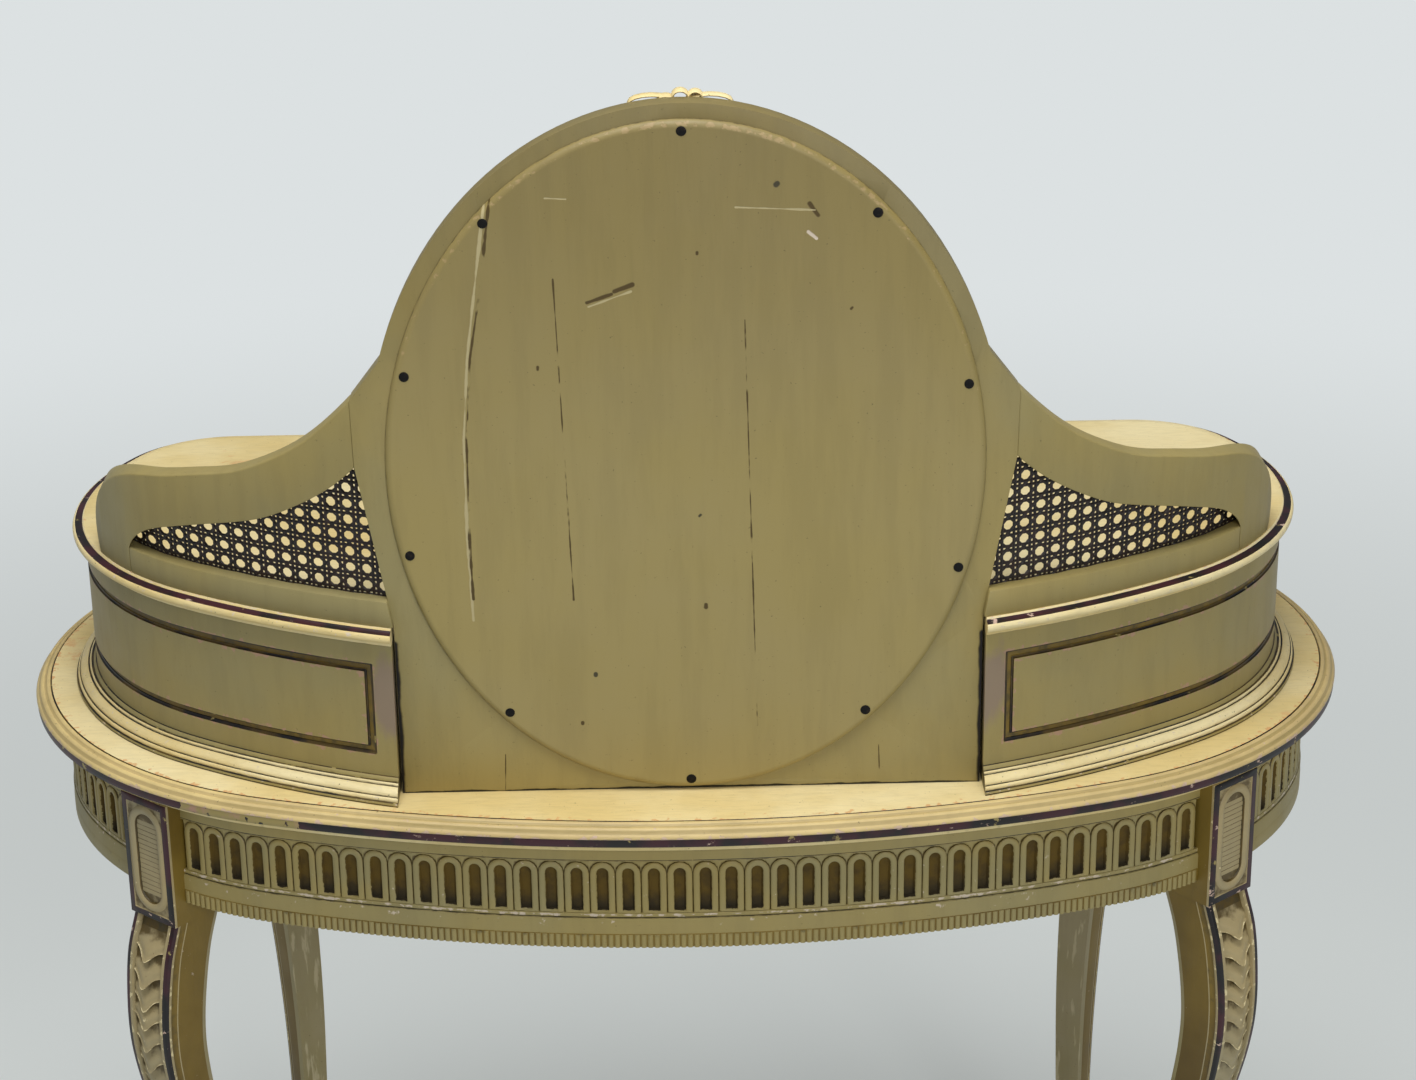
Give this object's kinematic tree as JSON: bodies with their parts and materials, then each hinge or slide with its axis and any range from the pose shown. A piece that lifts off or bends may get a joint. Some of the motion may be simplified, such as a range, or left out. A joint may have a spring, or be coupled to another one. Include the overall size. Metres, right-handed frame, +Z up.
{
  "type": "dressing table",
  "caption": "Oval dressing table on four cabriole legs, with a frieze drawer, two boxes with drawers and an arched mirror between wings filled with cane.",
  "frame": {"origin": "on the floor under the middle of the oval top", "axes": "+Z up, front of the table towards -Y, the mirror back and the side seen in the picture towards +Y, picture left towards +X"},
  "size_m": [1.104, 0.7098, 1.3],
  "materials": {
    "painted_wood": "worn cream and olive paint on wood",
    "painted_leg": "worn olive paint on carved wood",
    "painted_top": "satin cream paint on wood",
    "bare_wood": "bare planed wood",
    "cane": "dark stained woven cane",
    "brass": "aged turned brass",
    "mirror": "silvered glass",
    "dark_screw": "blackened steel"
  },
  "bodies": {
    "root": {"apron_back": "painted_wood", "apron_front_left": "painted_wood", "apron_front_right": "painted_wood", "apron_left": "painted_wood", "apron_right": "painted_wood", "box_base_left": "painted_wood", "box_base_right": "painted_wood", "box_cap_left": "painted_wood", "box_cap_right": "painted_wood", "box_guide_left": "bare_wood", "box_guide_right": "bare_wood", "box_inner_side_left": "painted_wood", "box_inner_side_right": "painted_wood", "box_wall_left": "painted_wood", "box_wall_right": "painted_wood", "cane_panel_left": "cane", "cane_panel_right": "cane", "front_rail": "painted_wood", "glue_blocks": "bare_wood", "leg_back_left": "painted_leg", "leg_back_right": "painted_leg", "leg_front_left": "painted_leg", "leg_front_right": "painted_leg", "mirror_back_panel": "painted_wood", "mirror_back_screws": "dark_screw", "mirror_board": "painted_wood", "mirror_crest": "painted_wood", "mirror_dowels": "bare_wood", "mirror_glass": "mirror", "mirror_moulding": "painted_wood", "runner_left": "bare_wood", "runner_right": "bare_wood", "table_top": "painted_top", "wing_bottom_rail_left": "painted_wood", "wing_bottom_rail_right": "painted_wood", "wing_top_rail_left": "painted_wood", "wing_top_rail_right": "painted_wood"},
    "frieze_drawer": {"frieze_drawer_back": "bare_wood", "frieze_drawer_bottom": "bare_wood", "frieze_drawer_front": "painted_wood", "frieze_drawer_side_left": "bare_wood", "frieze_drawer_side_right": "bare_wood", "frieze_knob_left": "brass", "frieze_knob_right": "brass"},
    "box_drawer_left": {"box_drawer_back_left": "bare_wood", "box_drawer_bottom_left": "bare_wood", "box_drawer_front_left": "painted_wood", "box_drawer_inner_side_left": "bare_wood", "box_drawer_outer_side_left": "bare_wood", "box_knob_left": "brass"},
    "box_drawer_right": {"box_drawer_back_right": "bare_wood", "box_drawer_bottom_right": "bare_wood", "box_drawer_front_right": "painted_wood", "box_drawer_inner_side_right": "bare_wood", "box_drawer_outer_side_right": "bare_wood", "box_knob_right": "brass"}
  },
  "joints": [
    {"name": "frieze_drawer_slide", "type": "slide", "parent": "root", "child": "frieze_drawer", "axis": [0, -1, 0], "range_m": [0, 0.25]},
    {"name": "box_drawer_left_slide", "type": "slide", "parent": "root", "child": "box_drawer_left", "axis": [0, -1, 0], "range_m": [0, 0.16]},
    {"name": "box_drawer_right_slide", "type": "slide", "parent": "root", "child": "box_drawer_right", "axis": [0, -1, 0], "range_m": [0, 0.16]}
  ]
}
